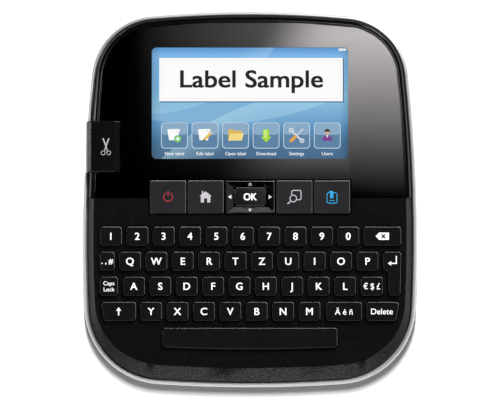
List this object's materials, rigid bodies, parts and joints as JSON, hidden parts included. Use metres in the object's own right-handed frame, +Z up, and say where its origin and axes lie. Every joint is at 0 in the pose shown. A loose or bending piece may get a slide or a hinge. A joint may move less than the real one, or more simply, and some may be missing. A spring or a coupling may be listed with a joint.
{
  "type": "label maker",
  "caption": "Desktop label maker with a tilted face: touch screen, full keyboard, side cutter button, and a print mechanism behind a hinged door.",
  "frame": {"origin": "centre of the footprint on the desk plane, under the non-slip foot", "axes": "+Z up, +X to the user's right, +Y from the keyboard end towards the screen end; the face is tilted 9 degrees about X"},
  "size_m": [0.1616, 0.1806, 0.0535],
  "materials": {
    "key_plastic": "fine-grained, slightly soft black moulded plastic",
    "function_key_plastic": "satin black moulded plastic",
    "gloss_black_plastic": "polished black",
    "gloss_black_panel": "polished clear-coated black panel",
    "grained_black_plastic": "grained matte black",
    "case_black_plastic": "spark-textured matte black",
    "silver_trim": "satin silver paint",
    "touch_screen_glass": "colour display behind an anti-glare touch film",
    "keypad_rubber": "moulded silicone",
    "circuit_board": "green solder mask",
    "mechanism_steel": "zinc-plated sheet steel",
    "roller_rubber": "ground rubber",
    "gear_plastic": "natural acetal",
    "cassette_plastic": "moulded grey",
    "battery_wrap": "shrink-wrapped",
    "foot_rubber": "soft matte rubber"
  },
  "bodies": {
    "case": {"rear_housing": "case_black_plastic", "silver_band": "silver_trim", "upper_bezel": "gloss_black_plastic", "glossy_panel": "gloss_black_panel", "touch_screen": "touch_screen_glass", "keyboard_fascia": "grained_black_plastic", "keypad_mat": "keypad_rubber", "main_board": "circuit_board", "print_head": "mechanism_steel", "drive_motor": "mechanism_steel", "tape_cassette": "cassette_plastic", "battery_pack": "battery_wrap", "non_slip_foot": "foot_rubber"},
    "cassette_door": {"cassette_door": "case_black_plastic"},
    "cutter_button": {"cutter_button": "grained_black_plastic"},
    "cutter_blade": {"cutter_blade": "mechanism_steel"},
    "platen_roller": {"platen_roller": "roller_rubber"},
    "motor_pinion": {"motor_pinion": "gear_plastic"},
    "nav_pad": {"nav_pad": "gloss_black_plastic"},
    "ok_button": {"ok_button": "gloss_black_plastic"},
    "power_button": {"power_button": "function_key_plastic"},
    "home_button": {"home_button": "function_key_plastic"},
    "preview_button": {"preview_button": "function_key_plastic"},
    "print_button": {"print_button": "function_key_plastic"},
    "key_backspace": {"key_backspace": "key_plastic"},
    "key_punctuation": {"key_punctuation": "key_plastic"},
    "key_enter": {"key_enter": "key_plastic"},
    "key_caps_lock": {"key_caps_lock": "key_plastic"},
    "key_currency": {"key_currency": "key_plastic"},
    "key_shift": {"key_shift": "key_plastic"},
    "key_accents": {"key_accents": "key_plastic"},
    "key_delete": {"key_delete": "key_plastic"},
    "key_space": {"key_space": "key_plastic"},
    "number_keys": {"number_keys": "key_plastic"},
    "key_q": {"key_q": "key_plastic"},
    "key_w": {"key_w": "key_plastic"},
    "key_e": {"key_e": "key_plastic"},
    "key_r": {"key_r": "key_plastic"},
    "key_t": {"key_t": "key_plastic"},
    "key_z": {"key_z": "key_plastic"},
    "key_u": {"key_u": "key_plastic"},
    "key_i": {"key_i": "key_plastic"},
    "key_o": {"key_o": "key_plastic"},
    "key_p": {"key_p": "key_plastic"},
    "key_a": {"key_a": "key_plastic"},
    "key_s": {"key_s": "key_plastic"},
    "key_d": {"key_d": "key_plastic"},
    "key_f": {"key_f": "key_plastic"},
    "key_g": {"key_g": "key_plastic"},
    "key_h": {"key_h": "key_plastic"},
    "key_j": {"key_j": "key_plastic"},
    "key_k": {"key_k": "key_plastic"},
    "key_l": {"key_l": "key_plastic"},
    "key_y": {"key_y": "key_plastic"},
    "key_x": {"key_x": "key_plastic"},
    "key_c": {"key_c": "key_plastic"},
    "key_v": {"key_v": "key_plastic"},
    "key_b": {"key_b": "key_plastic"},
    "key_n": {"key_n": "key_plastic"},
    "key_m": {"key_m": "key_plastic"}
  },
  "joints": [
    {"name": "cassette_door_hinge", "type": "hinge", "parent": "case", "child": "cassette_door", "pos_m": [0.001, 0.075, 0.0036], "axis": [1, 0, 0], "range_deg": [0, 100]},
    {"name": "cutter_button_press", "type": "slide", "parent": "case", "child": "cutter_button", "axis": [0, 0.1564, -0.9877], "range_m": [0, 0.0025], "stiffness_N_per_m": 250, "springref_m": -0.001},
    {"name": "cutter_blade_swing", "type": "hinge", "parent": "case", "child": "cutter_blade", "pos_m": [-0.07, 0.031, 0.036], "axis": [1, 0, 0], "range_deg": [0, 11]},
    {"name": "platen_spin", "type": "hinge", "parent": "case", "child": "platen_roller", "pos_m": [-0.058, 0.033, 0.017], "axis": [0, 0, 1], "continuous": true},
    {"name": "motor_pinion_spin", "type": "hinge", "parent": "case", "child": "motor_pinion", "pos_m": [-0.058, 0.021, 0.0325], "axis": [0, 0, 1], "continuous": true},
    {"name": "nav_pad_press", "type": "slide", "parent": "case", "child": "nav_pad", "axis": [0, 0.1564, -0.9877], "range_m": [0, 0.0008], "stiffness_N_per_m": 150, "springref_m": -0.001},
    {"name": "ok_button_press", "type": "slide", "parent": "case", "child": "ok_button", "axis": [0, 0.1564, -0.9877], "range_m": [0, 0.001], "stiffness_N_per_m": 150, "springref_m": -0.001},
    {"name": "power_button_press", "type": "slide", "parent": "case", "child": "power_button", "axis": [0, 0.1564, -0.9877], "range_m": [0, 0.001], "stiffness_N_per_m": 150, "springref_m": -0.001},
    {"name": "home_button_press", "type": "slide", "parent": "case", "child": "home_button", "axis": [0, 0.1564, -0.9877], "range_m": [0, 0.001], "stiffness_N_per_m": 150, "springref_m": -0.001},
    {"name": "preview_button_press", "type": "slide", "parent": "case", "child": "preview_button", "axis": [0, 0.1564, -0.9877], "range_m": [0, 0.001], "stiffness_N_per_m": 150, "springref_m": -0.001},
    {"name": "print_button_press", "type": "slide", "parent": "case", "child": "print_button", "axis": [0, 0.1564, -0.9877], "range_m": [0, 0.001], "stiffness_N_per_m": 150, "springref_m": -0.001},
    {"name": "key_backspace_press", "type": "slide", "parent": "case", "child": "key_backspace", "axis": [0, 0.1564, -0.9877], "range_m": [0, 0.001], "stiffness_N_per_m": 150, "springref_m": -0.001},
    {"name": "key_punctuation_press", "type": "slide", "parent": "case", "child": "key_punctuation", "axis": [0, 0.1564, -0.9877], "range_m": [0, 0.001], "stiffness_N_per_m": 150, "springref_m": -0.001},
    {"name": "key_enter_press", "type": "slide", "parent": "case", "child": "key_enter", "axis": [0, 0.1564, -0.9877], "range_m": [0, 0.001], "stiffness_N_per_m": 150, "springref_m": -0.001},
    {"name": "key_caps_lock_press", "type": "slide", "parent": "case", "child": "key_caps_lock", "axis": [0, 0.1564, -0.9877], "range_m": [0, 0.001], "stiffness_N_per_m": 150, "springref_m": -0.001},
    {"name": "key_currency_press", "type": "slide", "parent": "case", "child": "key_currency", "axis": [0, 0.1564, -0.9877], "range_m": [0, 0.001], "stiffness_N_per_m": 150, "springref_m": -0.001},
    {"name": "key_shift_press", "type": "slide", "parent": "case", "child": "key_shift", "axis": [0, 0.1564, -0.9877], "range_m": [0, 0.001], "stiffness_N_per_m": 150, "springref_m": -0.001},
    {"name": "key_accents_press", "type": "slide", "parent": "case", "child": "key_accents", "axis": [0, 0.1564, -0.9877], "range_m": [0, 0.001], "stiffness_N_per_m": 150, "springref_m": -0.001},
    {"name": "key_delete_press", "type": "slide", "parent": "case", "child": "key_delete", "axis": [0, 0.1564, -0.9877], "range_m": [0, 0.001], "stiffness_N_per_m": 150, "springref_m": -0.001},
    {"name": "key_space_press", "type": "slide", "parent": "case", "child": "key_space", "axis": [0, 0.1564, -0.9877], "range_m": [0, 0.001], "stiffness_N_per_m": 150, "springref_m": -0.001},
    {"name": "number_keys_press", "type": "slide", "parent": "case", "child": "number_keys", "axis": [0, 0.1564, -0.9877], "range_m": [0, 0.001], "stiffness_N_per_m": 150, "springref_m": -0.001},
    {"name": "key_q_press", "type": "slide", "parent": "case", "child": "key_q", "axis": [0, 0.1564, -0.9877], "range_m": [0, 0.001], "stiffness_N_per_m": 150, "springref_m": -0.001},
    {"name": "key_w_press", "type": "slide", "parent": "case", "child": "key_w", "axis": [0, 0.1564, -0.9877], "range_m": [0, 0.001], "stiffness_N_per_m": 150, "springref_m": -0.001},
    {"name": "key_e_press", "type": "slide", "parent": "case", "child": "key_e", "axis": [0, 0.1564, -0.9877], "range_m": [0, 0.001], "stiffness_N_per_m": 150, "springref_m": -0.001},
    {"name": "key_r_press", "type": "slide", "parent": "case", "child": "key_r", "axis": [0, 0.1564, -0.9877], "range_m": [0, 0.001], "stiffness_N_per_m": 150, "springref_m": -0.001},
    {"name": "key_t_press", "type": "slide", "parent": "case", "child": "key_t", "axis": [0, 0.1564, -0.9877], "range_m": [0, 0.001], "stiffness_N_per_m": 150, "springref_m": -0.001},
    {"name": "key_z_press", "type": "slide", "parent": "case", "child": "key_z", "axis": [0, 0.1564, -0.9877], "range_m": [0, 0.001], "stiffness_N_per_m": 150, "springref_m": -0.001},
    {"name": "key_u_press", "type": "slide", "parent": "case", "child": "key_u", "axis": [0, 0.1564, -0.9877], "range_m": [0, 0.001], "stiffness_N_per_m": 150, "springref_m": -0.001},
    {"name": "key_i_press", "type": "slide", "parent": "case", "child": "key_i", "axis": [0, 0.1564, -0.9877], "range_m": [0, 0.001], "stiffness_N_per_m": 150, "springref_m": -0.001},
    {"name": "key_o_press", "type": "slide", "parent": "case", "child": "key_o", "axis": [0, 0.1564, -0.9877], "range_m": [0, 0.001], "stiffness_N_per_m": 150, "springref_m": -0.001},
    {"name": "key_p_press", "type": "slide", "parent": "case", "child": "key_p", "axis": [0, 0.1564, -0.9877], "range_m": [0, 0.001], "stiffness_N_per_m": 150, "springref_m": -0.001},
    {"name": "key_a_press", "type": "slide", "parent": "case", "child": "key_a", "axis": [0, 0.1564, -0.9877], "range_m": [0, 0.001], "stiffness_N_per_m": 150, "springref_m": -0.001},
    {"name": "key_s_press", "type": "slide", "parent": "case", "child": "key_s", "axis": [0, 0.1564, -0.9877], "range_m": [0, 0.001], "stiffness_N_per_m": 150, "springref_m": -0.001},
    {"name": "key_d_press", "type": "slide", "parent": "case", "child": "key_d", "axis": [0, 0.1564, -0.9877], "range_m": [0, 0.001], "stiffness_N_per_m": 150, "springref_m": -0.001},
    {"name": "key_f_press", "type": "slide", "parent": "case", "child": "key_f", "axis": [0, 0.1564, -0.9877], "range_m": [0, 0.001], "stiffness_N_per_m": 150, "springref_m": -0.001},
    {"name": "key_g_press", "type": "slide", "parent": "case", "child": "key_g", "axis": [0, 0.1564, -0.9877], "range_m": [0, 0.001], "stiffness_N_per_m": 150, "springref_m": -0.001},
    {"name": "key_h_press", "type": "slide", "parent": "case", "child": "key_h", "axis": [0, 0.1564, -0.9877], "range_m": [0, 0.001], "stiffness_N_per_m": 150, "springref_m": -0.001},
    {"name": "key_j_press", "type": "slide", "parent": "case", "child": "key_j", "axis": [0, 0.1564, -0.9877], "range_m": [0, 0.001], "stiffness_N_per_m": 150, "springref_m": -0.001},
    {"name": "key_k_press", "type": "slide", "parent": "case", "child": "key_k", "axis": [0, 0.1564, -0.9877], "range_m": [0, 0.001], "stiffness_N_per_m": 150, "springref_m": -0.001},
    {"name": "key_l_press", "type": "slide", "parent": "case", "child": "key_l", "axis": [0, 0.1564, -0.9877], "range_m": [0, 0.001], "stiffness_N_per_m": 150, "springref_m": -0.001},
    {"name": "key_y_press", "type": "slide", "parent": "case", "child": "key_y", "axis": [0, 0.1564, -0.9877], "range_m": [0, 0.001], "stiffness_N_per_m": 150, "springref_m": -0.001},
    {"name": "key_x_press", "type": "slide", "parent": "case", "child": "key_x", "axis": [0, 0.1564, -0.9877], "range_m": [0, 0.001], "stiffness_N_per_m": 150, "springref_m": -0.001},
    {"name": "key_c_press", "type": "slide", "parent": "case", "child": "key_c", "axis": [0, 0.1564, -0.9877], "range_m": [0, 0.001], "stiffness_N_per_m": 150, "springref_m": -0.001},
    {"name": "key_v_press", "type": "slide", "parent": "case", "child": "key_v", "axis": [0, 0.1564, -0.9877], "range_m": [0, 0.001], "stiffness_N_per_m": 150, "springref_m": -0.001},
    {"name": "key_b_press", "type": "slide", "parent": "case", "child": "key_b", "axis": [0, 0.1564, -0.9877], "range_m": [0, 0.001], "stiffness_N_per_m": 150, "springref_m": -0.001},
    {"name": "key_n_press", "type": "slide", "parent": "case", "child": "key_n", "axis": [0, 0.1564, -0.9877], "range_m": [0, 0.001], "stiffness_N_per_m": 150, "springref_m": -0.001},
    {"name": "key_m_press", "type": "slide", "parent": "case", "child": "key_m", "axis": [0, 0.1564, -0.9877], "range_m": [0, 0.001], "stiffness_N_per_m": 150, "springref_m": -0.001}
  ],
  "couplings": [
    {"joint": "cutter_blade_swing", "follows": "cutter_button_press", "rad_per_m": 72},
    {"joint": "motor_pinion_spin", "follows": "platen_spin", "ratio": -3}
  ]
}
